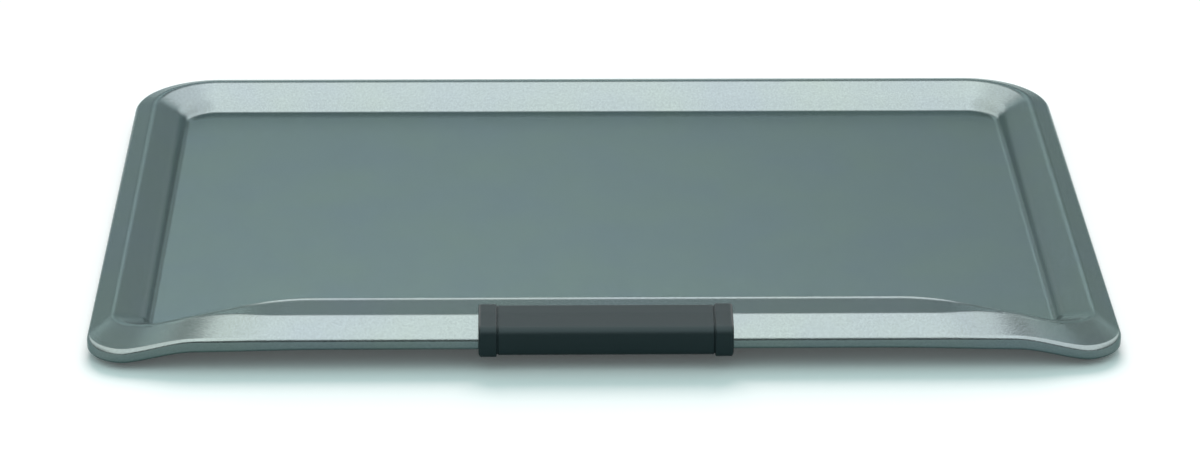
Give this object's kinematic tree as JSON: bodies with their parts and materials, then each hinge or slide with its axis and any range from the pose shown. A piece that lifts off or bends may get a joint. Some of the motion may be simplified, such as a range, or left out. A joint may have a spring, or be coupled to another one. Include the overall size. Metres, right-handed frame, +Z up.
{
  "type": "jelly roll pan",
  "caption": "Shallow rectangular baking tray pressed from dark coated steel, with leaning walls, a rolled edge and a raised front handle in a soft grip.",
  "frame": {"origin": "middle of the outline, on the plane that the pan rests on, which is the underside of its floor", "axes": "+X along the long side, to the right as seen from the handle; -Y towards the handle; +Z up"},
  "size_m": [0.432, 0.3222, 0.0223],
  "materials": {
    "tray": "satin nonstick coating with a fine metallic fleck",
    "grip": "matt moulded silicone"
  },
  "bodies": {
    "root": {"tray": "tray", "grip": "grip"}
  },
  "joints": []
}
